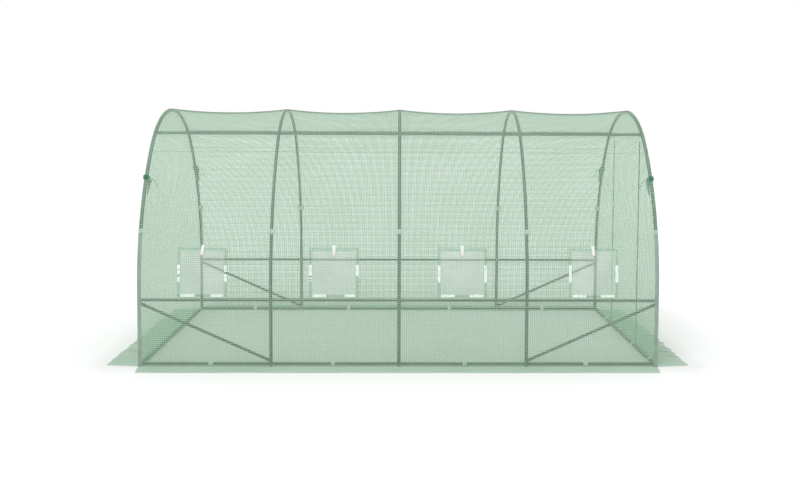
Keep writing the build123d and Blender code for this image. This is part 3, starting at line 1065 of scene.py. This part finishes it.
class TUNNEL_OT_cover(bpy.types.Operator):
    """Make the film over the hoops: two sides, the roof between them, their welds and hems"""

    bl_idname = "tunnel.cover"
    bl_label = "Cover"

    def execute(self, context):
        low, high = OPENING_RUNS
        edges = sorted(HOOPS[1:-1] + [x + s * OPENING for x in WINDOWS for s in (-1, 1)])
        columns = stops(-END, *edges, END, step=0.034)

        def closed(x, run):
            return not (low < run < high and any(abs(x - at) < OPENING for at in WINDOWS))

        over = FULL_RUN - SEAM_RUN
        for name, ends, keep in (
            ("side_south", (FOOT, low, high, LEG_TOP + 0.4, SEAM_RUN), closed),
            ("roof", (SEAM_RUN, TOP_RUN, over), None),
            ("side_north", (over, FULL_RUN - FOOT), None),
        ):
            rows = stops(*ends, step=0.034)
            mesh = sheet_mesh(f"film_{name}", columns, rows, film_at, keep)
            film_piece(mesh, f"cover_{name}")

        weld, hem, top = sizes().weld_width, sizes().leg_hem, run_at(LEG_HEM_TOP)
        strips = [
            (f"seam_weld_{name}", -END, END, run - weld / 2, run + weld / 2, 0.0006, "green_film")
            for run, name in ((SEAM_RUN, "south"), (over, "north"))
        ]
        for wide, lift, look, kind, spans in (
            (weld, 0.0008, "green_film", "edge_weld", {"": (FOOT, FULL_RUN - FOOT)}),
            (hem, 0.0004, "leg_film", "leg_hem",
             {"_south": (FOOT, top), "_north": (FULL_RUN - top, FULL_RUN - FOOT)}),
        ):
            for end, x0, x1 in (("west", -END, wide - END), ("east", END - wide, END)):
                for side, span in spans.items():
                    strips.append((f"{kind}{side}_{end}", x0, x1, *span, lift, look))
        for *strip, look in strips:
            piece_of(film_strip(*strip), [look])
        return {"FINISHED"}


# ---- the ends and the door
DOOR_LOW, DOOR_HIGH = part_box("door_flap")
DOOR_HALF, DOOR_TOP = DOOR_HIGH.y, DOOR_HIGH.z
TEETH_OUT = 0.0026  # the line of a zip's teeth, out from the film
TOOTH_WIDTH = 0.004
# The outlines of a zip's tape and of a tie at the door's top: across it, and out from the film.
ZIP_OUTLINE = (
    (-0.0095, -0.0020), (-0.0095, 0.0020), (-0.0040, 0.0034), (0.0040, 0.0034),
    (0.0095, 0.0020), (0.0095, -0.0020), (0.0040, -0.0034), (-0.0040, -0.0034),
)
TIE_HALF = 0.0045
TIE_OUTLINE = ((-TIE_HALF, 0.0), (TIE_HALF, 0.0), (TIE_HALF, 0.0014), (-TIE_HALF, 0.0014))
TIE_LEAN = 0.006


def end_ripple(y, z, end):
    """How far an end's film stands outside its flat, softly rippled and flat at its edge."""
    half = skin_at(run_at_film(min(z, RIDGE - 0.001)))[0]
    ripple = wave(y * 3.0, z * 1.4, 5.0 + end) + 0.5 * wave(y * 8.0, z * 3.0, 1.0)
    return 0.003 * (0.5 + 0.5 * ripple) * clamp((half - abs(y)) / 0.15) * min(1.0, z / 0.2)


class TUNNEL_OT_ends(bpy.types.Operator):
    """Make the film that fills the two ends, with the doorway left open in the east one"""

    bl_idname = "tunnel.ends"
    bl_label = "End panels"

    def execute(self, context):
        runs = stops(run_at_film(FOOT), run_at_film(DOOR_TOP), TOP_RUN, step=0.05)
        half_at = {height: half for half, height in map(skin_at, runs)}
        at_door = skin_at(run_at_film(DOOR_TOP))[0]
        columns = stops(-1.0, -0.5, 0.5, 1.0, step=0.05)

        def across(c, height):
            """The inner half of the columns fills the door's width, which narrows above it."""
            half = max(0.0, half_at[height])
            inner = DOOR_HALF if height <= DOOR_TOP + 1e-6 else DOOR_HALF * half / at_door
            if abs(c) <= 0.5:
                return c * 2 * inner
            return math.copysign(inner + (half - inner) * (abs(c) * 2 - 1), c)

        for end, name in ENDS:

            def place(c, height):
                y = across(c, height)
                return Vector((end * (END + end_ripple(y, height, end)), y, height))

            def keep(c, height):
                return end < 0 or abs(c) > 0.5 or height > DOOR_TOP

            mesh = sheet_mesh(f"film_end_{name}", columns, list(half_at), place, keep,
                              flat=lambda c, h: (across(c, h), h))
            film_piece(mesh, f"end_panel_{name}")
        return {"FINISHED"}


def door_ribbons(name, outline, steps, line):
    """Two closed ribbons on the door. line gives the middle of one at a step: y, z, how far out."""
    points, flat, faces = [], [], []
    for side in (-1, 1):
        faces += ring_faces(len(points), len(outline), len(steps))
        for step in steps:
            middle, z, off = line(side, step)
            for across, out in outline:
                y = middle + across
                points.append((END + end_ripple(y, z, 1) + off + out, y, z))
                flat.append((step, across))
    return tidy(mesh_from(name, points, faces, flat))


class TUNNEL_OT_door(bpy.types.Operator):
    """Make the door's film, its two zips and the ties at its top"""

    bl_idname = "tunnel.door"
    bl_label = "Door"

    def execute(self, context):
        columns = stops(-DOOR_HALF, DOOR_HALF, step=0.04)
        rows = stops(DOOR_LOW.z, DOOR_TOP, step=0.04)
        low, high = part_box("door_ties")

        def place(y, z, out=0.0):
            return Vector((END + end_ripple(y, z, 1) + out, y, z))

        def zip_line(side, z):
            return side * DOOR_HALF, z, 0.0

        def tie_line(side, down):
            y = side * (high.y - TIE_HALF) + TIE_LEAN * down / (high.z - low.z)
            return y, high.z - down, 0.0012 + 0.0035 * math.sin(math.pi * clamp(down / 0.05)) ** 2

        mesh = sheet_mesh("door_film", columns, rows, place)
        door = piece_of(mesh, ["green_film"], ["door_flap"])
        mesh = door_ribbons("zip_tapes", ZIP_OUTLINE, rows, zip_line)
        zips = piece_of(mesh, ["zip_tape"], ["door_zips"])
        runs = [[place(side * DOOR_HALF, z, TEETH_OUT) for z in rows] for side in (-1, 1)]
        values = {"Pitch": sizes().tooth_pitch, "Tooth Width": TOOTH_WIDTH}
        mesh = grown("zip_teeth", run_host("zip_teeth", runs), "Zip teeth", "teeth", values)
        chain = piece_of(mesh, ())
        steps = stops(0.0, high.z - low.z, step=0.006)
        mesh = door_ribbons("door_tie_tapes", TIE_OUTLINE, steps, tie_line)
        ties = piece_of(mesh, ["zip_tape"], ["door_ties"])
        return {"FINISHED"}


# ---- the skirts
SKIRT_RISE = 0.004
SKIRT_BEND = 0.006
BEND_RUN = SKIRT_BEND * math.pi / 2
GROUND = 0.0008
WEST_RUFFLE = 0.35  # how much of the east skirt's ruffles the west one has


def skirt_path(run):
    """How far out of the wall, and how high, a skirt is after a run from its top edge."""
    if run < SKIRT_RISE:
        return 0.0, GROUND + SKIRT_BEND + SKIRT_RISE - run
    run -= SKIRT_RISE
    if run < BEND_RUN:
        turn = run / SKIRT_BEND
        return SKIRT_BEND * (1 - math.cos(turn)), GROUND + SKIRT_BEND * (1 - math.sin(turn))
    return SKIRT_BEND + run - BEND_RUN, GROUND


class TUNNEL_OT_skirts(bpy.types.Operator):
    """Make the four skirts that lie on the ground"""

    bl_idname = "tunnel.skirts"
    bl_label = "Skirts"

    def execute(self, context):
        for axis, side, name in [(1, *each) for each in SIDES] + [(0, *each) for each in ENDS]:
            low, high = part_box(f"skirt_{name}")
            wall = (END if axis == 0 else HALF_WIDTH + SKIN) + 0.0006
            half = high[1 - axis]
            depth = (high[axis] if side > 0 else -low[axis]) - wall
            bend_end = SKIRT_RISE + BEND_RUN
            rows = stops(0.0, SKIRT_RISE, step=0.002)
            rows += stops(SKIRT_RISE, bend_end, step=0.0024)[1:]
            rows += stops(bend_end, bend_end - SKIRT_BEND + depth, step=0.02)[1:]

            def place(a, run):
                out, z = skirt_path(run)
                share = clamp(out / depth)
                a *= (half - 0.03 * share) / half
                lift = wave(a * 3.1, share * 0.8, 11.0 + side + 2 * axis)
                z += sizes().skirt_lift * max(0.0, lift + 0.1) * share ** 1.5
                out += 0.004 * wave(a * 5.0, 4.0, 17.0 + side + 2 * axis) * share
                if axis == 0:
                    tuck = wave(a * 9.0, share * 2.2, 23.0 + side)
                    fine = wave(a * 21.0, share * 3.0, 31.0 + side)
                    height = sizes().skirt_ruffle * share * min(1.0, (half - abs(a)) / 0.3)
                    rise = max(0.0, tuck + 0.5 * fine + 0.12)
                    z += height * rise * (1.0 if side > 0 else WEST_RUFFLE)
                    out += 0.5 * height * fine
                spot = Vector((a, a, z))
                spot[axis] = side * (wall + out)
                return spot

            columns = stops(-half, half, step=0.035 if axis else 0.012)
            mesh = sheet_mesh(f"film_skirt_{name}", columns, rows, place,
                              away_from=(0.0, 0.0, -50.0))
            film_piece(mesh, f"skirt_{name}")
        return {"FINISHED"}


# ---- the windows
PANE_LIFT = 0.0011
FOLD = 0.0008
FOLD_RUN = 0.0015  # the run over which a folded hem rises onto its pane
BOTTOM, TOP = run_at_film(WINDOW_SILL), run_at_film(WINDOW_TOP)
WINDOW_RUN, HALF_RUN = (BOTTOM + TOP) / 2, (TOP - BOTTOM) / 2
STITCH_INSET = HEM - 0.0035
STRAP_WIDTH = 0.025
STRAP_TILTS = (7.0, -1.0, 1.5, -6.0)
STRIP_THICKNESS = 0.0012
STRIP_WIDTH = HEM - 0.004
STRIP_LENGTHS = (0.132, 0.108)  # of the upright strips and of the level ones
WHOLE = ((0.0, 1.0),)
# The shares of each hook-and-loop strip that are there, for the west and the east side of each
# window: down its side hem, and from its corner along the bottom hem.
STRIPS = (
    (
        (((0.0, 0.30), (0.33, 0.56), (0.72, 1.0)), WHOLE),
        (((0.05, 0.42), (0.56, 1.0)), ((0.0, 0.9),)),
    ),
    ((((0.0, 0.62), (0.76, 0.82), (0.9, 0.95)), WHOLE), (((0.0, 0.66),), ((0.0, 0.76),))),
    ((WHOLE, WHOLE), (WHOLE, WHOLE)),
    ((WHOLE, WHOLE), (WHOLE, WHOLE)),
)


def folded(value, half):
    """Where a hemmed sheet is at a distance from its middle, and how many layers are under it."""
    if abs(value) <= half:
        return value, 0.0
    past = abs(value) - half
    return math.copysign(half - past, value), min(1.0, past / FOLD_RUN)


def hemmed(half):
    """Stops across a hemmed sheet from one hem's raw edge to the other's."""
    inner = [half - HEM, half, half + FOLD_RUN, half + HEM]
    return stops(*(-at for at in reversed(inner)), *inner, step=0.03)


class TUNNEL_OT_windows(bpy.types.Operator):
    """Make the windows: netting, hemmed flaps, their straps and hook-and-loop strips"""

    bl_idname = "tunnel.windows"
    bl_label = "Windows"

    def execute(self, context):
        for number, x0 in enumerate(WINDOWS, 1):
            sides = x0 - OPENING, x0 + OPENING
            mesh = film_strip(f"window_net_{number}", *sides, *OPENING_RUNS, 0.0)
            net = piece_of(mesh, ["netting"], ["window_screens"])
            self.pane(number, x0)
        for number, (x0, tilt) in enumerate(zip(WINDOWS, STRAP_TILTS), 1):
            self.strap(number, x0, math.radians(tilt))
        self.strips()
        return {"FINISHED"}

    def pane(self, number, x0):
        def place(c, r):
            across, over_a = folded(c, WINDOW_HALF)
            up, over_b = folded(r, HALF_RUN)
            pillow = (1 - (across / WINDOW_HALF) ** 2) * (1 - (up / HALF_RUN) ** 2)
            crease = wave((x0 + across) * 9.0, up * 7.0, 2.0 + x0)
            puff = 0.0024 * pillow * (0.7 + 0.6 * crease)
            lift = PANE_LIFT + FOLD * (over_a + over_b) + puff
            return film_at(x0 + across, WINDOW_RUN + up, lift)

        def is_hem(c, r):
            return int(abs(c) > WINDOW_HALF or abs(r) > HALF_RUN)

        columns, rows = hemmed(WINDOW_HALF), hemmed(HALF_RUN)
        mesh = sheet_mesh(f"window_pane_{number}", columns, rows, place, kind=is_hem, merge=1e-6)
        looks, node = ["pane_film", "hem_film"], f"window_flap_{number}"
        flap = piece_of(mesh, looks, [node])

        a, b = WINDOW_HALF - STITCH_INSET, HALF_RUN - STITCH_INSET
        corners = [(-a, b), (a, b), (a, -b), (-a, -b), (-a, b)]
        shares = stops(0.0, 1.0, step=1 / 24)
        seams = [
            [
                film_at(x0 + c0 + (c1 - c0) * share, WINDOW_RUN + r0 + (r1 - r0) * share,
                        PANE_LIFT + FOLD + 0.0004)
                for share in shares
            ]
            for (c0, r0), (c1, r1) in zip(corners, corners[1:])
        ]
        name = f"window_stitches_{number}"
        values = {"Pitch": sizes().stitch_pitch, "Thread Radius": STITCH_RADIUS}
        seam = grown(name, run_host(name, seams), "Stitches along seams", "webbing", values)
        thread = piece_of(seam, ())

    def strap(self, number, x0, turn):
        low, high = (corner.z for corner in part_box("window_straps"))
        start, stop = run_at_film(low), run_at_film(high)
        centre = (start + stop) / 2
        columns = stops(-STRAP_WIDTH / 2, STRAP_WIDTH / 2, step=0.006)
        rows = stops(start - centre, stop - centre, step=0.005)

        def place(c, r):
            x = x0 + c * math.cos(turn) + r * math.sin(turn)
            run = centre + r * math.cos(turn) - c * math.sin(turn)
            over = clamp((TOP + 0.006 - run) / 0.008)
            bow = 0.0022 * math.sin(math.pi * clamp((centre + 0.02 - run) / 0.058))
            return film_at(x, run, 0.0018 + (PANE_LIFT + FOLD) * over + bow)

        mesh = sheet_mesh(f"window_strap_{number}", columns, rows, place,
                          flat=lambda c, r: (r, c))
        piece = piece_of(mesh, ["webbing"], ["window_straps"])
        thicken(piece, 0.0012)

    def strips(self):
        points, faces, flat = [], [], []
        lift = PANE_LIFT + 2 * FOLD

        def strip(x0, x1, z0, z1):
            """A closed slab on the hems: two layers of points, with a rim between them."""
            first = len(points)
            columns = stops(x0, x1, step=0.0075)
            rows = stops(run_at_film(z0), run_at_film(z1), step=0.0075)
            for layer in (0.0, STRIP_THICKNESS):
                for r in rows:
                    points.extend(film_at(c, r, lift + layer) for c in columns)
                    flat.extend((c, r) if x1 - x0 > z1 - z0 else (r, c) for c in columns)
            wide, tall = len(columns), len(rows)
            deck = wide * tall
            for j in range(tall - 1):
                for at in range(first + j * wide, first + j * wide + wide - 1):
                    quad = (at + wide, at + wide + 1, at + 1, at)
                    faces.extend((quad, tuple(deck + i for i in reversed(quad))))
            rim = [first + i for i in range(wide)]
            rim += [first + wide * j + wide - 1 for j in range(1, tall)]
            rim += [first + deck - 1 - i for i in range(1, wide)]
            rim += [first + wide * j for j in range(tall - 2, 0, -1)]
            faces.extend((a, b, b + deck, a + deck) for a, b in zip(rim, rim[1:] + rim[:1]))

        top, bottom = WINDOW_TOP - 0.130, WINDOW_SILL + 0.002
        edge, corner = WINDOW_HALF - 0.002, WINDOW_HALF - 0.028
        tall, wide = STRIP_LENGTHS
        for x0, patches in zip(WINDOWS, STRIPS):
            for side, (upright, level) in zip((-1, 1), patches):
                a, b = sorted((side * edge, side * (edge - STRIP_WIDTH)))
                for start, stop in upright:
                    strip(x0 + a, x0 + b, top - tall * stop, top - tall * start)
                for share in level:
                    a, b = sorted(side * (corner - wide * at) for at in share)
                    strip(x0 + a, x0 + b, bottom, bottom + STRIP_WIDTH)
        mesh = tidy(mesh_from("window_hook_strips", points, faces, flat))
        piece_of(mesh, ["hook_tape"], ["window_tapes"])


# ---- the straps
STRAP_HEIGHT = 1.04
HOOP_STRAP, RAIL_STRAP = 0.036, 0.030  # the straps' widths
BACK_REACH = TUBE + 0.0006
HOOP_REACH = TUBE + 0.0013
FLANGE_GAP = 0.0008  # from a strap's flat ends to the film's outside


def arc(radius, start, stop, count):
    """Points round the origin of a flat frame, from one angle to another in degrees."""
    turns = [math.radians(start + (stop - start) * i / count) for i in range(count + 1)]
    return [(radius * math.cos(turn), radius * math.sin(turn)) for turn in turns]


def band(name, path, frame, width, node, thickness):
    """A strap along a flat path in a frame: its origin, the path's two axes, and its width's."""
    origin, first, second, across = frame
    runs = [0.0]
    for a, b in zip(path, path[1:]):
        runs.append(runs[-1] + math.dist(a, b))

    def place(c, i):
        return origin + first * path[i][0] + second * path[i][1] + across * c

    columns = stops(-width / 2, width / 2, step=width / 4)
    mesh = sheet_mesh(name, columns, range(len(path)), place, flat=lambda c, i: (runs[i], c),
                      away_from=None)
    thicken(piece_of(mesh, ["webbing"], [node]), thickness, 0.0)


class TUNNEL_OT_straps(bpy.types.Operator):
    """Make the white straps that hold the cover to the hoops and to the base rails"""

    bl_idname = "tunnel.straps"
    bl_label = "Straps"

    def execute(self, context):
        for side, name in SIDES:
            for number, x in enumerate(HOOPS, 1):
                self.hoop_strap(f"{name}_{number}", x, side, f"hoop_straps_{name}")
        self.rail_straps()
        return {"FINISHED"}

    def hoop_strap(self, name, x, side, node):
        """A strap's front round a hoop, from film to film, and its back under the tube."""
        origin, outward, along = hoop_frame(x, side, STRAP_HEIGHT)
        flange = SKIN - FLANGE_GAP
        last = abs(x) == HOOPS[-1]
        sideways = Vector((math.copysign(1, -x) if last else 1.0, 0.0, 0.0))
        start = [(0.030, flange), (0.020, flange), (0.0155, flange - 0.002)]
        if last:
            path = start + arc(HOOP_REACH, 25, -115, 14)
            path += [(-flange, at) for at in (-0.0150, -0.020, -0.030)]
        else:
            path = start + arc(HOOP_REACH, 25, -205, 22) + [(-u, v) for u, v in reversed(start)]
        back = arc(BACK_REACH, 20, 236 if last else 160, 20)
        frame = (origin, sideways, outward, along)
        band(f"hoop_strap_{name}", path, frame, HOOP_STRAP, node, 0.0011)
        band(f"hoop_strap_back_{name}", back, frame, HOOP_STRAP, node, 0.0004)

    def rail_straps(self):
        """Straps round the base rails, each from the film over the rail and back."""
        low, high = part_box("base_rail_south")
        rail, height = (high.z - low.z) / 2, (high.z + low.z) / 2
        up = Vector((0.0, 0.0, 1.0))
        long_y, long_wall = HALF_WIDTH - TUBE - rail - SEAT, TUBE + rail + SEAT + SKIN
        places = [
            (Vector((x, side * long_y, height)), Vector((0.0, side, 0.0)), long_wall)
            for side in (-1, 1) for x in (-0.510, 0.510, -1.455, 1.455)
        ]
        places += [
            (Vector((end * HOOPS[-1], y, height)), Vector((end, 0.0, 0.0)), SKIN)
            for end, y in ((1, -0.845), (1, -0.380), (1, 0.540), (-1, 0.925))
        ]
        for number, (origin, outward, wall) in enumerate(places, 1):
            flange = wall - FLANGE_GAP
            path = [(flange, rail + 0.016), (flange, rail), (flange, 0.006)]
            if wall > SKIN:
                path += [(flange, -0.004), (flange - 0.003, -0.0065), (BACK_REACH + 0.004, -0.0068)]
                path += arc(BACK_REACH, -30, 318, 28)
            else:
                path += arc(BACK_REACH, 14, 350, 26)
            path = [(u, max(v, 0.0003 - height)) for u, v in path]
            frame = (origin, outward, up, outward.cross(up))
            band(f"rail_strap_{number}", path, frame, RAIL_STRAP, "rail_straps", 0.0006)


# ---- the sidebar
STEPS = (
    TUNNEL_OT_stage,
    TUNNEL_OT_ties,
    TUNNEL_OT_hoops,
    TUNNEL_OT_rails,
    TUNNEL_OT_braces,
    TUNNEL_OT_bolts,
    TUNNEL_OT_cover,
    TUNNEL_OT_ends,
    TUNNEL_OT_door,
    TUNNEL_OT_skirts,
    TUNNEL_OT_windows,
    TUNNEL_OT_straps,
)


class TUNNEL_PT_sidebar(bpy.types.Panel):
    """The tunnel's sizes, colours and pieces"""

    bl_label = "Polytunnel"
    bl_idname = "TUNNEL_PT_sidebar"
    bl_space_type = "VIEW_3D"
    bl_region_type = "UI"
    bl_category = "Polytunnel"

    def draw(self, context):
        for title, group in (("Sizes", sizes()), ("Colours", colours())):
            box = self.layout.box()
            box.label(text=title)
            for name in type(group).__annotations__:
                box.prop(group, name)
        column = self.layout.column()
        for step in STEPS:
            column.operator(step.bl_idname)


CLASSES = (TunnelSizes, TunnelColours, *STEPS, TUNNEL_PT_sidebar)


def register():
    for each in CLASSES:
        bpy.utils.register_class(each)
    bpy.types.Scene.tunnel_sizes = bpy.props.PointerProperty(type=TunnelSizes)
    bpy.types.Scene.tunnel_colours = bpy.props.PointerProperty(type=TunnelColours)


def unregister():
    del bpy.types.Scene.tunnel_colours
    del bpy.types.Scene.tunnel_sizes
    for each in reversed(CLASSES):
        bpy.utils.unregister_class(each)


def main():
    register()
    for step in STEPS:
        group, name = step.bl_idname.split(".")
        getattr(getattr(bpy.ops, group), name)()
    bpy.context.view_layer.update()


if __name__ == "__main__":
    main()
